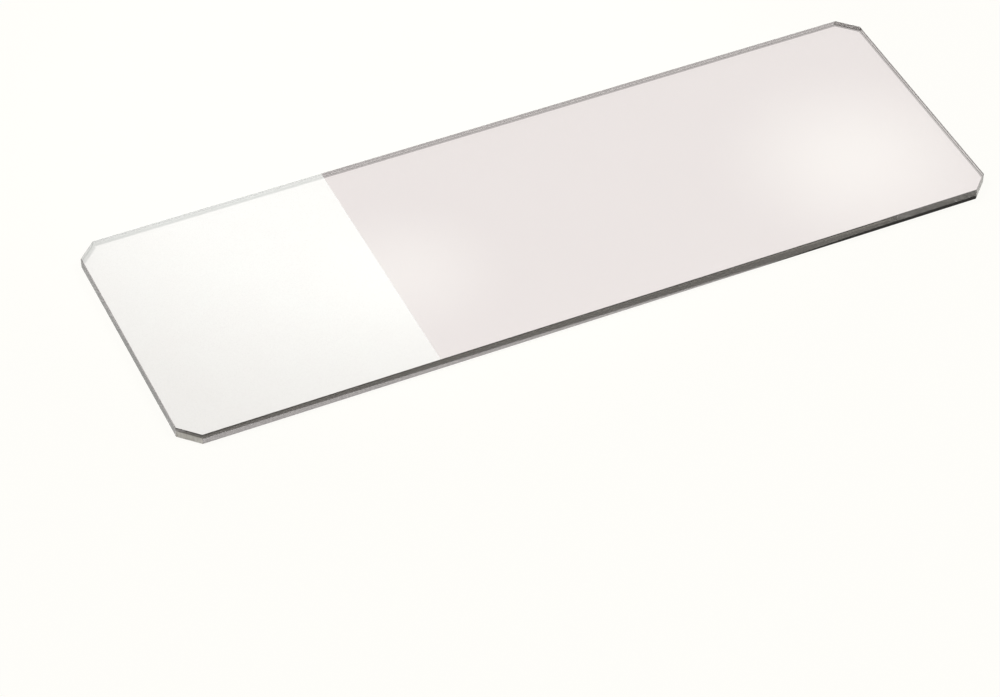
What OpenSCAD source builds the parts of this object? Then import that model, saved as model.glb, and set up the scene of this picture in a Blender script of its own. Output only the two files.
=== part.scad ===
// Microscope slide: a clear glass plate with clipped corners and seamed edges,
// and a white marking area printed on its top face at one end.
//
// Millimetres, +Z up. The slide lies flat. The origin is the centre of its underside,
// +X runs along its length towards the clear end, and the marking area is at the -X end.

/* [Glass plate] */
// Length of the slide
slide_length = 76; // [40:0.5:120]
// Width of the slide
slide_width = 26; // [18:0.5:76]
// Thickness of the glass
glass_thickness = 1.05; // [0.7:0.05:3]
// Leg of the 45 degree cut across each corner
corner_clip = 1.7; // [0.5:0.1:4]
// Leg of the fine 45 degree seam ground along every sharp edge
edge_seam = 0.06; // [0.02:0.01:0.2]

/* [Marking area] */
// Length of the marking area, from the slide's end
marking_length = 23; // [10:0.5:35]
// Thickness of the printed white layer
ink_thickness = 0.02; // [0.01:0.005:0.1]

/* [Hidden] */

half_length = slide_length / 2;
half_width = slide_width / 2;
// A bar this long reaches past both ends of any edge.
seam_bar_length = slide_length + slide_width;
// A square bar turned by 45 degrees and centred on an edge takes off a seam of half its diagonal.
seam_bar_side = edge_seam * sqrt(2);

// Corners of the slide's outline, anticlockwise from the front of the clear end, drawn in by
// inset on every side. The 45 degree cuts move in by the same distance as the straight sides.
function slide_outline(inset = 0) =
    let (
        x = half_length - inset,
        y = half_width - inset,
        clip = corner_clip - inset * (2 - sqrt(2))
    )
    [
        [x, clip - y],
        [x, y - clip],
        [x - clip, y],
        [clip - x, y],
        [-x, y - clip],
        [-x, clip - y],
        [clip - x, -y],
        [x - clip, -y]
    ];

// The bar that grinds one edge: it lies along the line from point a to point b at height z.
module seam_bar(a, b, z) {
    middle = (a + b) / 2;
    run = b - a;
    translate([middle.x, middle.y, z])
        rotate([0, 0, atan2(run.y, run.x)])
            rotate([45, 0, 0])
                cube([seam_bar_length, seam_bar_side, seam_bar_side], center = true);
}

// Clear glass, cut to the outline, with the edges of both faces seamed.
module glass_plate() {
    corners = slide_outline();
    last = len(corners) - 1;
    color([0.90, 0.90, 0.90, 0.4])
        difference() {
            linear_extrude(glass_thickness)
                polygon(corners);
            for (i = [0 : last], z = [0, glass_thickness])
                seam_bar(corners[i], corners[i == last ? 0 : i + 1], z);
        }
}

// White print on the top face. It covers the flat of the face up to the seams.
module marking_area() {
    color([0.97, 0.97, 0.95])
        translate([0, 0, glass_thickness])
            linear_extrude(ink_thickness)
                intersection() {
                    polygon(slide_outline(inset = edge_seam));
                    translate([-half_length, -half_width])
                        square([marking_length, slide_width]);
                }
}

glass_plate();
marking_area();
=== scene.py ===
import math

import bmesh
import bpy
from mathutils import Matrix, Vector


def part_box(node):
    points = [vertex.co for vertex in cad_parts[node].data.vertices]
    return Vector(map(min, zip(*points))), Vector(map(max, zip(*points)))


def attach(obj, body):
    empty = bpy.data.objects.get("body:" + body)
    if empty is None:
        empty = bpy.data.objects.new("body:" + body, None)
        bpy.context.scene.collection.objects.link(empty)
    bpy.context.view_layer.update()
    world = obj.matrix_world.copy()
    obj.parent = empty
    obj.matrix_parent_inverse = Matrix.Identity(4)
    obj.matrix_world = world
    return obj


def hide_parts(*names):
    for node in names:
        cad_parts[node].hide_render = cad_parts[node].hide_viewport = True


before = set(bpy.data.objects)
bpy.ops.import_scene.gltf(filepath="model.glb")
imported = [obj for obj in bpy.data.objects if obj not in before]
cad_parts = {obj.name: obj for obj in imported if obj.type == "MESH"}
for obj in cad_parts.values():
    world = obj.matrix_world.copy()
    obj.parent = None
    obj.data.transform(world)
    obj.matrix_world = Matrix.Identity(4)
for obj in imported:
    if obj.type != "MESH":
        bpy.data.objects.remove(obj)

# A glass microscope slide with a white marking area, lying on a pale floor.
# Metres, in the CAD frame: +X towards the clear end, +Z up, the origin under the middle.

MM = 0.001
# Two lengths that differ by less than this are the same.
SAME_LENGTH = 0.001 * MM
# Decimals of a metre that tell one corner of an outline from the next.
CORNER_DECIMALS = 8

# The photograph's view. The aim is a share of the slide's length and width from its middle.
CAMERA_AZIMUTH = math.radians(24.687)
CAMERA_ELEVATION = math.radians(43.768)
CAMERA_ROLL = math.radians(-0.040)
CAMERA_DISTANCE = 308.20 * MM
CAMERA_LENS_MM = 132.17
CAMERA_SENSOR_MM = 36.0
CAMERA_CLIP = (0.01, 10.0)
AIM_ALONG = -0.12517
AIM_ACROSS = -0.49259

# The floor and backdrop as they show directly, and the floor as it shows through glass, darker and
# warmer as a painted shadow of the slide.
BACKGROUND = (1.0, 0.991, 0.956)
SHADED_UNDER_GLASS = (0.967, 0.924, 0.902)
# The floor's paint, which takes the shadow, and how much of the shown colour covers it.
FLOOR_COLOUR = (0.94, 0.935, 0.91)
FLOOR_LIFT = 0.95
FLOOR_GAP = 0.05 * MM
FLOOR_HALF_SIZE = 1.6
# The room over the slide is a soft grey. Gloss and glass show the white backdrop all round it, which
# ends between these heights of the direction they look in, where 0 is level and 1 straight up.
AMBIENT = (0.22, 0.205, 0.178)
BACKDROP_FULL = 0.16
BACKDROP_END = 0.32

# Two soft square lamps face the slide's middle from both sides.
SOFT_LAMP_PLACES = {"soft_left": (-0.5, 0.3, 0.8), "soft_right": (0.5, -0.3, 0.8)}
SOFT_LAMP_TARGET = (0.0, 0.0, 0.0)
SOFT_LAMP_SIZE = 0.5
SOFT_LAMP_POWER = 4.9
# A spot brightens part of the marking area. Its pool of light has this radius at its reach.
SPOT_PLACE = (-0.05, 0.12, 0.85)
SPOT_TARGET = (-0.005, 0.0195, 0.0)
SPOT_POWER = 15.0
SPOT_RADIUS = 0.041
SPOT_REACH = 0.86
SPOT_BLEND = 0.57
SPOT_LAMP_RADIUS = 0.01
# Two ceiling panels show only as soft glows in the slide's top face. Each is placed so that the
# camera sees the middle of its glow at these x and y of the face.
PANEL_COLOUR = (0.91, 1.0, 0.88)
PANEL_HEIGHT = 1.04
PANELS = {
    "panel_end": {"seen_at": (0.0285, -0.005), "half_size": 0.085, "strength": 2.25},
    "panel_middle": {"seen_at": (-0.0135, -0.002), "half_size": 0.06, "strength": 1.5},
}

# Light can turn this often on its long ways inside the plate.
GLASS_BOUNCES = 64
DIFFUSE_BOUNCES = 4
TRANSPARENT_BOUNCES = 16

# The values of a noise between which it takes effect, and how finely it is broken up.
NOISE_RANGE = (0.3, 0.7)
WIDE_NOISE_RANGE = (0.25, 0.75)
HIGH_NOISE_RANGE = (0.5, 0.75)
NOISE_DETAIL = 2.0
FINE_NOISE_DETAIL = 4.0

GLASS_IOR = 1.478
GLASS_ABSORPTION = 8.0
GLASS_TINT = (0.985, 0.968, 0.974)
GLASS_TINT_CLOUD = (0.980, 0.963, 0.969)
GLASS_CLOUD = 14.0 * MM
SMUDGE_SIZE = 9.0 * MM
SMUDGE_ROUGHNESS = 0.02
SMUDGE_BORDER = 4.0 * MM

# The ground edge colour, darker than ground glass so that it also gives painted shade along the edges.
CUT_AND_SHADE_COLOUR = (0.12, 0.115, 0.11)
CUT_GLOSS = 0.2
CUT_ROUGHNESS = (0.42, 0.58)
CUT_GRAIN = 0.05 * MM
CUT_GRAIN_DEPTH = 0.004 * MM
# The cut corners of the marked end carry painted reflection bands, painted dark along the upper part
# of their walls and painted pale below it, and those of the clear end are frosted.
CORNER_PAINTED_DARK = (0.18, 0.175, 0.168)
CORNER_PAINTED_PALE = (0.65, 0.64, 0.615)
CORNER_PAINTED_BAND_HEIGHT = 0.70 * MM
FROST_COLOUR = (0.40, 0.39, 0.375)

# The plate's edges: its long sides, its ends, and the cut corners at its marked and clear ends.
# Each has a wall, and a rim that is its seams and a narrow border of both faces. A share is
# how much of the dull cut surface shows in place of clear glass, on rays inside or outside the
# plate. From outside it is the ground finish of walls and seams. Inside the plate the walls and
# the rim show it more strongly, as painted shade along the edges. A wall is clear on the inside
# up to its foot's height, and a foot below the plate is none.
NO_FOOT = -0.2 * MM
EDGES = {
    "side": {
        "wall_inside": 0.50,
        "wall_outside": 0.10,
        "foot": 0.33 * MM,
        "rim": 0.14 * MM,
        "rim_inside": 0.46,
    },
    "end": {
        "wall_inside": 0.72,
        "wall_outside": 0.05,
        "foot": 0.50 * MM,
        "rim": 0.12 * MM,
        "rim_inside": 0.35,
    },
    # From outside, the marked corners mostly show their painted reflection bands.
    "marked_corner": {
        "wall_inside": 0.22,
        "wall_outside": 0.80,
        "foot": NO_FOOT,
        "rim": 0.32 * MM,
        "rim_inside": 0.40,
    },
    "clear_corner": {
        "wall_inside": 0.79,
        "wall_outside": 0.75,
        "foot": NO_FOOT,
        "rim": 0.14 * MM,
        "rim_inside": 0.50,
    },
}
SEAM_OUTSIDE = 0.55
FOOT_FADE = 0.05 * MM
RIM_FADE = 0.04 * MM
RIM_WOBBLE = 0.006 * MM
RIM_WOBBLE_SIZE = 0.4 * MM
STREAKS = 0.12
STREAK_SIZE = 0.12 * MM
STREAK_LENGTH = 8.0
# How far up or down a surface's normal points, from 0 to 1: less than the first on a wall, less than
# the second on a seam, and more on a face.
WALL_UPRIGHT = 0.3
SEAM_UPRIGHT = 0.95

# Painted shade on the near long wall towards the clear end: painted grey, and painted black along
# the wall's foot. A start and a full strength are shares of the slide's length.
NEAR_WALL_DEPTH = 0.1 * MM
NEAR_WALL_SHADE_COLOUR = (0.21, 0.205, 0.20)
NEAR_WALL_SHADE_SHARE = 0.75
NEAR_WALL_SHADE_START = 0.84
NEAR_WALL_SHADE_FULL = 0.885
FOOT_SHADE_COLOUR = (0.012, 0.011, 0.010)
FOOT_SHADE_START = 0.60
FOOT_SHADE_FULL = 0.90
FOOT_SHADE_HEIGHT = 0.43 * MM
FOOT_SHADE_FADE = 0.02 * MM

INK_COLOUR = (0.905, 0.970, 0.950)
INK_COLOUR_CLOUD = (0.900, 0.955, 0.935)
INK_CLOUD = 3.0 * MM
INK_COVER = (0.352, 0.368)
INK_ROUGHNESS = (0.26, 0.36)
INK_GRAIN = 0.07 * MM
INK_GRAIN_DEPTH = 0.0015 * MM
INK_GAP = 0.002 * MM

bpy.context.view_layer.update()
slide_low, slide_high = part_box("glass_plate")
slide_size = slide_high - slide_low
slide_middle = (slide_low + slide_high) / 2
plate_points = [v.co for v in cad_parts["glass_plate"].data.vertices]
corner_start = max(p.y for p in plate_points if slide_high.x - p.x < SAME_LENGTH)
corner_clip = slide_high.y - corner_start


# ---------------------------------------------------------------- node helpers

# The sockets of a Mix node share their names, so they are told apart by number.
MIX_SHARE = 0
MIX_NUMBERS = (2, 3)
MIX_COLOURS = (6, 7)
MIX_NUMBER_RESULT = 0
MIX_COLOUR_RESULT = 2


def new_material(name):
    """A material with an empty node tree, and its output node."""
    material = bpy.data.materials.new(name)
    material.use_nodes = True
    tree = material.node_tree
    tree.nodes.clear()
    return material, tree, tree.nodes.new("ShaderNodeOutputMaterial")


def maths(tree, operation, first, second=None):
    """The output of a Math node. An input is a number or a socket."""
    node = tree.nodes.new("ShaderNodeMath")
    node.operation = operation
    for index, value in enumerate((first, second)):
        if value is None:
            continue
        if isinstance(value, (int, float)):
            node.inputs[index].default_value = value
        else:
            tree.links.new(value, node.inputs[index])
    return node.outputs[0]


def largest(tree, values):
    """The largest of several sockets."""
    result = None
    for value in values:
        result = value if result is None else maths(tree, "MAXIMUM", result, value)
    return result


def weighted(tree, shares):
    """The sum of each socket times its number or socket."""
    total = None
    for share, weight in shares:
        part = maths(tree, "MULTIPLY", share, weight)
        total = part if total is None else maths(tree, "ADD", total, part)
    return total


def ramp(tree, value, low, high, to_low=0.0, to_high=1.0):
    """A smooth step of value, from to_low at low to to_high at high."""
    node = tree.nodes.new("ShaderNodeMapRange")
    node.interpolation_type = "SMOOTHSTEP"
    tree.links.new(value, node.inputs["Value"])
    node.inputs["From Min"].default_value = low
    node.inputs["From Max"].default_value = high
    node.inputs["To Min"].default_value = to_low
    node.inputs["To Max"].default_value = to_high
    return node.outputs["Result"]


def axes(tree, vector):
    """The X, Y and Z sockets of a vector socket."""
    node = tree.nodes.new("ShaderNodeSeparateXYZ")
    tree.links.new(vector, node.inputs[0])
    return node.outputs


def coordinate(tree, kind):
    """One vector socket of a Texture Coordinate node."""
    return tree.nodes.new("ShaderNodeTexCoord").outputs[kind]


def mixed_number(tree, share, first, second):
    """The first socket's number where share is 0 and the second's where it is 1."""
    node = tree.nodes.new("ShaderNodeMix")
    tree.links.new(share, node.inputs[MIX_SHARE])
    for index, value in zip(MIX_NUMBERS, (first, second)):
        tree.links.new(value, node.inputs[index])
    return node.outputs[MIX_NUMBER_RESULT]


def mixed_colour(tree, share, first, second):
    """The first colour where share is 0, the second where it is 1. Each is three numbers or a socket."""
    node = tree.nodes.new("ShaderNodeMix")
    node.data_type = "RGBA"
    tree.links.new(share, node.inputs[MIX_SHARE])
    for index, value in zip(MIX_COLOURS, (first, second)):
        if isinstance(value, tuple):
            node.inputs[index].default_value = (*value, 1.0)
        else:
            tree.links.new(value, node.inputs[index])
    return node.outputs[MIX_COLOUR_RESULT]


def mixed_shader(tree, share, first, second):
    """The first shader where share is 0 and the second where it is 1."""
    node = tree.nodes.new("ShaderNodeMixShader")
    for index, value in enumerate((share, first, second)):
        tree.links.new(value, node.inputs[index])
    return node.outputs[0]


def noise(tree, size, stretch=(1.0, 1.0, 1.0), detail=NOISE_DETAIL):
    """Noise round a half, in blots of about this size, drawn out along an axis by its stretch."""
    scaled = tree.nodes.new("ShaderNodeVectorMath")
    scaled.operation = "MULTIPLY"
    tree.links.new(coordinate(tree, "Object"), scaled.inputs[0])
    scaled.inputs[1].default_value = tuple(1.0 / (size * s) for s in stretch)
    cloud = tree.nodes.new("ShaderNodeTexNoise")
    cloud.inputs["Scale"].default_value = 1.0
    cloud.inputs["Detail"].default_value = detail
    tree.links.new(scaled.outputs[0], cloud.inputs["Vector"])
    return cloud.outputs["Fac"]


def grain(tree, shader, size, depth):
    """Fine noise relief on a shader. Returns the noise, so that it can drive more than the relief."""
    cloud = noise(tree, size)
    bump = tree.nodes.new("ShaderNodeBump")
    bump.inputs["Strength"].default_value = 1.0
    bump.inputs["Distance"].default_value = depth
    tree.links.new(cloud, bump.inputs["Height"])
    tree.links.new(bump.outputs[0], shader.inputs["Normal"])
    return cloud


# ---------------------------------------------------------------- places on the plate

def edge_distances(tree):
    """How far a point lies outside the line of each kind of edge, in metres. Inside it is below 0."""
    spot = axes(tree, coordinate(tree, "Object"))
    half_length, half_width = slide_size.x / 2, slide_size.y / 2
    along = maths(tree, "SUBTRACT", spot["X"], slide_middle.x)
    back = maths(tree, "MULTIPLY", along, -1.0)
    across = maths(tree, "ABSOLUTE", maths(tree, "SUBTRACT", spot["Y"], slide_middle.y))
    distances = {
        "side": maths(tree, "SUBTRACT", across, half_width),
        "end": maths(tree, "SUBTRACT", maths(tree, "ABSOLUTE", along), half_length),
    }
    corner_line = half_length + half_width - corner_clip
    for kind, outward in (("marked_corner", back), ("clear_corner", along)):
        past = maths(tree, "SUBTRACT", maths(tree, "ADD", outward, across), corner_line)
        distances[kind] = maths(tree, "MULTIPLY", past, math.sqrt(0.5))
    return distances


def wall_and_seam(tree):
    """Sockets that are 1 on the plate's walls, and on its seams."""
    turn = axes(tree, coordinate(tree, "Normal"))
    upright = maths(tree, "ABSOLUTE", turn["Z"])
    wall = maths(tree, "LESS_THAN", upright, WALL_UPRIGHT)
    sloping = maths(tree, "LESS_THAN", upright, SEAM_UPRIGHT)
    return wall, maths(tree, "SUBTRACT", sloping, wall)


def above_foot(tree, height):
    """0 at the foot of the plate's walls, and 1 above this height."""
    spot = axes(tree, coordinate(tree, "Object"))
    middle = slide_low.z + height
    return ramp(tree, spot["Z"], middle - FOOT_FADE, middle + FOOT_FADE)


def dull_shares(tree):
    """Shares of dull cut surface for rays outside the plate and inside it, and each wall's mask. Inside
    the plate the dull surface is painted shade along the edges.
    """
    wall, seam = wall_and_seam(tree)
    flat = maths(tree, "SUBTRACT", 1.0, wall)
    past = edge_distances(tree)
    furthest = largest(tree, past.values())
    wobble = ramp(tree, noise(tree, RIM_WOBBLE_SIZE), *WIDE_NOISE_RANGE, -RIM_WOBBLE, RIM_WOBBLE)
    upright_noise = noise(tree, STREAK_SIZE, (1.0, 1.0, STREAK_LENGTH))
    streaks = ramp(tree, upright_noise, *WIDE_NOISE_RANGE, 1 - STREAKS, 1 + STREAKS)
    outside, inside, walls = [(seam, SEAM_OUTSIDE)], [], {}
    for kind, edge in EDGES.items():
        nearest = maths(tree, "LESS_THAN", maths(tree, "SUBTRACT", furthest, past[kind]), SAME_LENGTH)
        wavy_distance = maths(tree, "ADD", past[kind], wobble)
        border = ramp(tree, wavy_distance, -edge["rim"] - RIM_FADE, -edge["rim"])
        rim = maths(tree, "MULTIPLY", maths(tree, "MULTIPLY", nearest, flat), border)
        walls[kind] = maths(tree, "MULTIPLY", nearest, wall)
        streaked = maths(tree, "MULTIPLY", walls[kind], streaks)
        wall_inside = maths(tree, "MULTIPLY", above_foot(tree, edge["foot"]), edge["wall_inside"])
        outside.append((streaked, edge["wall_outside"]))
        inside += [(streaked, wall_inside), (rim, edge["rim_inside"])]
    return weighted(tree, outside), weighted(tree, inside), walls


def painted_near_wall_shade(tree):
    """Sockets for the painted grey shade on the near long wall and for the painted black shade along its
    foot.
    """
    spot = axes(tree, coordinate(tree, "Object"))
    near = maths(tree, "LESS_THAN", spot["Y"], slide_low.y + NEAR_WALL_DEPTH)
    along = maths(tree, "DIVIDE", maths(tree, "SUBTRACT", spot["X"], slide_low.x), slide_size.x)
    grey = ramp(tree, along, NEAR_WALL_SHADE_START, NEAR_WALL_SHADE_FULL, 0.0, NEAR_WALL_SHADE_SHARE)
    black_low, black_high = slide_low.z - FOOT_SHADE_FADE, slide_low.z + FOOT_SHADE_HEIGHT
    height = ramp(tree, along, FOOT_SHADE_START, FOOT_SHADE_FULL, black_low, black_high)
    black = ramp(tree, maths(tree, "SUBTRACT", spot["Z"], height), FOOT_SHADE_FADE, -FOOT_SHADE_FADE)
    return maths(tree, "MULTIPLY", near, grey), maths(tree, "MULTIPLY", near, black)


def smudges(tree):
    """The roughness of the clear glass: none near the edges, and faint clouds on the faces."""
    furthest = largest(tree, edge_distances(tree).values())
    open_face = ramp(tree, furthest, -SMUDGE_BORDER, -2 * SMUDGE_BORDER)
    blots = noise(tree, SMUDGE_SIZE, detail=FINE_NOISE_DETAIL)
    cloud = ramp(tree, blots, *HIGH_NOISE_RANGE, 0.0, SMUDGE_ROUGHNESS)
    return maths(tree, "MULTIPLY", open_face, cloud)


# ---------------------------------------------------------------- materials

def clear_glass(tree):
    """The shader of the clear glass, with a faint cloud in its tint and faint smudges."""
    shader = tree.nodes.new("ShaderNodeBsdfPrincipled")
    shader.inputs["Transmission Weight"].default_value = 1.0
    shader.inputs["IOR"].default_value = GLASS_IOR
    cloud = ramp(tree, noise(tree, GLASS_CLOUD), *NOISE_RANGE)
    tree.links.new(mixed_colour(tree, cloud, GLASS_TINT, GLASS_TINT_CLOUD), shader.inputs["Base Color"])
    tree.links.new(smudges(tree), shader.inputs["Roughness"])
    return shader.outputs[0]


def cut_glass(tree, walls, grey, black):
    """The shader of the dull cut glass, coloured darker than ground glass as painted shade. Its colour
    changes to painted reflection bands at the marked corners, to frost at the clear corners, and to
    painted shade on the near wall.
    """
    shader = tree.nodes.new("ShaderNodeBsdfPrincipled")
    shader.inputs["Specular IOR Level"].default_value = CUT_GLOSS
    ground = grain(tree, shader, CUT_GRAIN, CUT_GRAIN_DEPTH)
    tree.links.new(ramp(tree, ground, *NOISE_RANGE, *CUT_ROUGHNESS), shader.inputs["Roughness"])
    # Painted reflection bands on the marked corners: dark above, pale below.
    painted_bands = mixed_colour(tree, above_foot(tree, CORNER_PAINTED_BAND_HEIGHT), CORNER_PAINTED_PALE, CORNER_PAINTED_DARK)
    colour = mixed_colour(tree, walls["marked_corner"], CUT_AND_SHADE_COLOUR, painted_bands)
    colour = mixed_colour(tree, walls["clear_corner"], colour, FROST_COLOUR)
    # Painted shade on the near wall: grey, and black along its foot.
    colour = mixed_colour(tree, grey, colour, NEAR_WALL_SHADE_COLOUR)
    colour = mixed_colour(tree, black, colour, FOOT_SHADE_COLOUR)
    tree.links.new(colour, shader.inputs["Base Color"])
    return shader.outputs[0]


def glass_material():
    """Clear glass, whose cut walls, clipped corners and rim are duller than its faces, with painted
    shade along its edges and on its near wall.
    """
    material, tree, output = new_material("clear_glass")
    from_outside, from_inside, walls = dull_shares(tree)
    # Painted shade on the near long wall.
    grey, black = painted_near_wall_shade(tree)
    inside = tree.nodes.new("ShaderNodeNewGeometry").outputs["Backfacing"]
    dull = mixed_number(tree, inside, from_outside, from_inside)
    share = largest(tree, (dull, grey, black))
    surface = mixed_shader(tree, share, clear_glass(tree), cut_glass(tree, walls, grey, black))
    tree.links.new(surface, output.inputs["Surface"])
    volume = tree.nodes.new("ShaderNodeVolumeAbsorption")
    # Black takes away the same share of every colour.
    volume.inputs["Color"].default_value = (0.0, 0.0, 0.0, 1.0)
    volume.inputs["Density"].default_value = GLASS_ABSORPTION
    tree.links.new(volume.outputs[0], output.inputs["Volume"])
    return material


def ink_material():
    """White printing ink that lets some of what is under it show."""
    material, tree, output = new_material("white_ink")
    shader = tree.nodes.new("ShaderNodeBsdfPrincipled")
    cloud = ramp(tree, noise(tree, INK_CLOUD, detail=FINE_NOISE_DETAIL), *NOISE_RANGE)
    tree.links.new(mixed_colour(tree, cloud, INK_COLOUR, INK_COLOUR_CLOUD), shader.inputs["Base Color"])
    printed = grain(tree, shader, INK_GRAIN, INK_GRAIN_DEPTH)
    tree.links.new(ramp(tree, printed, *NOISE_RANGE, *INK_ROUGHNESS), shader.inputs["Roughness"])
    cover = ramp(tree, printed, *NOISE_RANGE, *INK_COVER)
    inside = tree.nodes.new("ShaderNodeNewGeometry").outputs["Backfacing"]
    outside = maths(tree, "SUBTRACT", 1.0, inside)
    tree.links.new(maths(tree, "MULTIPLY", cover, outside), shader.inputs["Alpha"])
    tree.links.new(shader.outputs[0], output.inputs["Surface"])
    return material


def floor_material():
    """A pale floor with a faint shadow. It looks nearly white directly and in gloss, and through glass
    it shows a painted shadow of the slide.
    """
    material, tree, output = new_material("pale_floor")
    paint = tree.nodes.new("ShaderNodeBsdfDiffuse")
    paint.inputs["Color"].default_value = (*FLOOR_COLOUR, 1.0)
    path = tree.nodes.new("ShaderNodeLightPath").outputs
    through_glass = path["Is Transmission Ray"]
    seen = largest(tree, (path["Is Camera Ray"], path["Is Glossy Ray"], through_glass))
    glow = tree.nodes.new("ShaderNodeEmission")
    # Through glass the floor glows in its painted shadow colour.
    tree.links.new(mixed_colour(tree, through_glass, BACKGROUND, SHADED_UNDER_GLASS), glow.inputs["Color"])
    lift = maths(tree, "MULTIPLY", seen, FLOOR_LIFT)
    surface = mixed_shader(tree, lift, paint.outputs[0], glow.outputs[0])
    tree.links.new(surface, output.inputs["Surface"])
    return material


def panel_material(strength):
    """A light panel that fades out towards its edges."""
    material, tree, output = new_material("soft_panel")
    spot = axes(tree, coordinate(tree, "Object"))
    square = weighted(tree, ((spot["X"], spot["X"]), (spot["Y"], spot["Y"])))
    fade = ramp(tree, maths(tree, "SQRT", square), 1.0, 0.0)
    glow = tree.nodes.new("ShaderNodeEmission")
    glow.inputs["Color"].default_value = (*PANEL_COLOUR, 1.0)
    tree.links.new(maths(tree, "MULTIPLY", fade, strength), glow.inputs["Strength"])
    clear = tree.nodes.new("ShaderNodeBsdfTransparent")
    both = tree.nodes.new("ShaderNodeAddShader")
    tree.links.new(glow.outputs[0], both.inputs[0])
    tree.links.new(clear.outputs[0], both.inputs[1])
    tree.links.new(both.outputs[0], output.inputs["Surface"])
    return material


# ---------------------------------------------------------------- pieces

def mesh_object(name, bm, material):
    """A mesh object from a finished bmesh."""
    mesh = bpy.data.meshes.new(name)
    bm.to_mesh(mesh)
    bm.free()
    mesh.materials.append(material)
    piece = bpy.data.objects.new(name, mesh)
    bpy.context.scene.collection.objects.link(piece)
    return piece


def top_outline(node):
    """The corners of a CAD node's upper face, in order round it."""
    points = [v.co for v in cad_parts[node].data.vertices]
    top = max(p.z for p in points)
    corners = {
        (round(p.x, CORNER_DECIMALS), round(p.y, CORNER_DECIMALS))
        for p in points if top - p.z < SAME_LENGTH
    }
    middle_x = sum(x for x, _ in corners) / len(corners)
    middle_y = sum(y for _, y in corners) / len(corners)
    return sorted(corners, key=lambda c: math.atan2(c[1] - middle_y, c[0] - middle_x))


def marking_film(material):
    """The printed film, a closed thin solid on the top face at the marked end."""
    outline = top_outline("marking_area")
    low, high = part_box("marking_area")
    bm = bmesh.new()
    lower = [bm.verts.new((x, y, low.z + INK_GAP)) for x, y in outline]
    upper = [bm.verts.new((x, y, high.z)) for x, y in outline]
    bm.faces.new(upper)
    bm.faces.new(list(reversed(lower)))
    count = len(outline)
    for i in range(count):
        j = (i + 1) % count
        bm.faces.new((lower[i], lower[j], upper[j], upper[i]))
    bmesh.ops.recalc_face_normals(bm, faces=bm.faces)
    return mesh_object("marking_film", bm, material)


# ---------------------------------------------------------------- stage, light and camera

def square_mesh(half, z):
    """A level square round the origin, at height z."""
    bm = bmesh.new()
    corners = ((-half, -half, z), (half, -half, z), (half, half, z), (-half, half, z))
    bm.faces.new([bm.verts.new(p) for p in corners])
    return bm


def make_floor():
    """The floor, a hair below the slide."""
    square = square_mesh(FLOOR_HALF_SIZE, slide_low.z - FLOOR_GAP)
    floor = mesh_object("floor", square, floor_material())


def make_world():
    """A soft grey room for light, with the white backdrop for camera, gloss and glass."""
    world = bpy.data.worlds.new("studio")
    bpy.context.scene.world = world
    world.use_nodes = True
    tree = world.node_tree
    tree.nodes.clear()
    path = tree.nodes.new("ShaderNodeLightPath").outputs
    direction = axes(tree, coordinate(tree, "Generated"))
    backdrop = ramp(tree, direction["Z"], BACKDROP_END, BACKDROP_FULL)
    mirrored = largest(tree, (path["Is Glossy Ray"], path["Is Transmission Ray"]))
    white = largest(tree, (path["Is Camera Ray"], maths(tree, "MULTIPLY", mirrored, backdrop)))
    room = tree.nodes.new("ShaderNodeBackground")
    room.inputs["Color"].default_value = (*AMBIENT, 1.0)
    shown = tree.nodes.new("ShaderNodeBackground")
    shown.inputs["Color"].default_value = (*BACKGROUND, 1.0)
    output = tree.nodes.new("ShaderNodeOutputWorld")
    tree.links.new(mixed_shader(tree, white, room.outputs[0], shown.outputs[0]), output.inputs[0])


def add_lamp(name, kind, place, target, power):
    """A lamp at place, facing target. It doesn't show through glass."""
    data = bpy.data.lights.new(name, kind)
    data.energy = power
    lamp = bpy.data.objects.new(name, data)
    lamp.location = place
    lamp.rotation_euler = (Vector(target) - Vector(place)).to_track_quat("-Z", "Y").to_euler()
    lamp.visible_transmission = False
    bpy.context.scene.collection.objects.link(lamp)
    return lamp


def make_lamps():
    """The two soft lamps, and the spot on the marking area, which doesn't show in gloss."""
    for name, place in SOFT_LAMP_PLACES.items():
        lamp = add_lamp(name, "AREA", place, SOFT_LAMP_TARGET, SOFT_LAMP_POWER)
        lamp.data.shape = "SQUARE"
        lamp.data.size = SOFT_LAMP_SIZE
    spot = add_lamp("marking_spot", "SPOT", SPOT_PLACE, SPOT_TARGET, SPOT_POWER)
    spot.data.spot_size = 2 * math.atan(SPOT_RADIUS / SPOT_REACH)
    spot.data.spot_blend = SPOT_BLEND
    spot.data.shadow_soft_size = SPOT_LAMP_RADIUS
    spot.visible_glossy = False


def mirrored_place(camera, x, y, height):
    """Where the camera sees the ceiling mirrored at point x, y of the slide's top."""
    eye = camera.matrix_world.translation
    point = Vector((x, y, slide_high.z))
    away = point - eye
    return point + Vector((away.x, away.y, -away.z)) * ((height - point.z) / -away.z)


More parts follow.
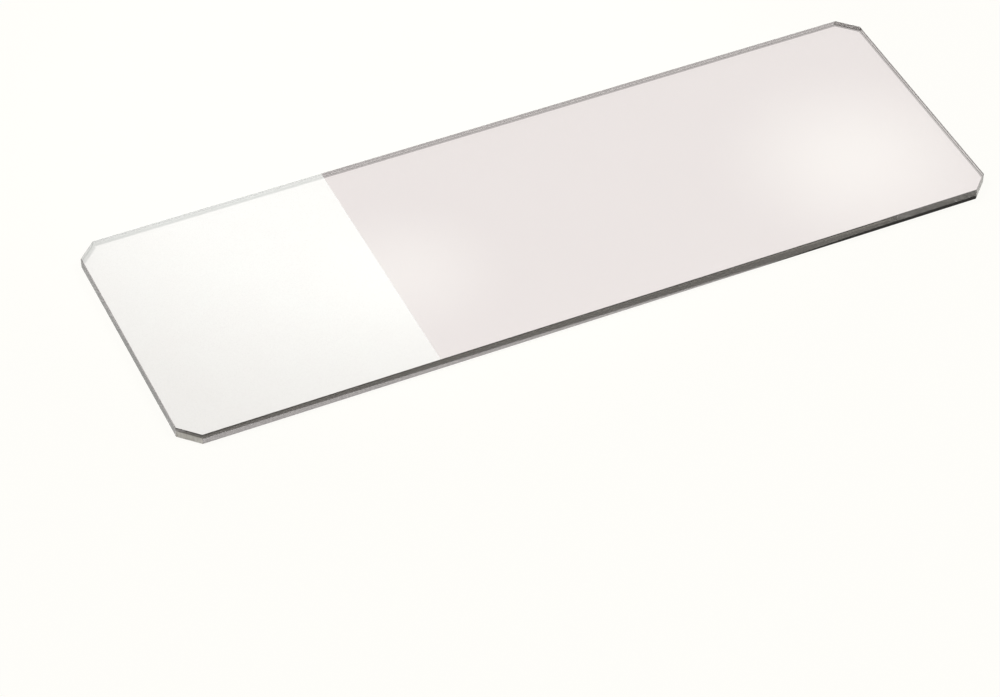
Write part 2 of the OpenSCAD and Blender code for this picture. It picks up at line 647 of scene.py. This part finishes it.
def make_panels(camera):
    """The ceiling panels, which only gloss shows."""
    for name, glow in PANELS.items():
        # The material's fade ends 1 from the middle of the mesh, so the panel gets its size by scale.
        panel = mesh_object(name, square_mesh(1.0, 0.0), panel_material(glow["strength"]))
        panel.location = mirrored_place(camera, *glow["seen_at"], PANEL_HEIGHT)
        panel.scale = (glow["half_size"], glow["half_size"], 1.0)
        panel.visible_camera = False
        panel.visible_diffuse = False
        panel.visible_transmission = False
        panel.visible_shadow = False


def make_camera():
    """The photograph's view, aimed at a point on the slide's near long side."""
    aim = Vector((
        slide_middle.x + AIM_ALONG * slide_size.x,
        slide_middle.y + AIM_ACROSS * slide_size.y,
        slide_low.z,
    ))
    forward = Vector((
        math.sin(CAMERA_AZIMUTH) * math.cos(CAMERA_ELEVATION),
        math.cos(CAMERA_AZIMUTH) * math.cos(CAMERA_ELEVATION),
        -math.sin(CAMERA_ELEVATION),
    ))
    level = forward.cross(Vector((0, 0, 1))).normalized()
    over = level.cross(forward)
    right = level * math.cos(CAMERA_ROLL) - over * math.sin(CAMERA_ROLL)
    up = right.cross(forward)
    data = bpy.data.cameras.new("camera")
    data.lens = CAMERA_LENS_MM
    data.sensor_width = CAMERA_SENSOR_MM
    data.clip_start, data.clip_end = CAMERA_CLIP
    camera = bpy.data.objects.new("camera", data)
    turn = Matrix((right, up, -forward)).transposed()
    camera.matrix_world = Matrix.Translation(aim - forward * CAMERA_DISTANCE) @ turn.to_4x4()
    bpy.context.scene.collection.objects.link(camera)
    bpy.context.scene.camera = camera
    return camera


def render_settings():
    """The plain view transform, and enough bounces for the glass walls."""
    scene = bpy.context.scene
    scene.view_settings.view_transform = "Standard"
    scene.cycles.max_bounces = GLASS_BOUNCES
    scene.cycles.transmission_bounces = GLASS_BOUNCES
    scene.cycles.glossy_bounces = GLASS_BOUNCES
    scene.cycles.diffuse_bounces = DIFFUSE_BOUNCES
    scene.cycles.transparent_max_bounces = TRANSPARENT_BOUNCES


# ---------------------------------------------------------------- the scene

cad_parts["glass_plate"].material_slots[0].material = glass_material()

film = marking_film(ink_material())
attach(film, "root")
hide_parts("marking_area")

make_floor()
make_world()
make_lamps()
camera = make_camera()
make_panels(camera)
render_settings()
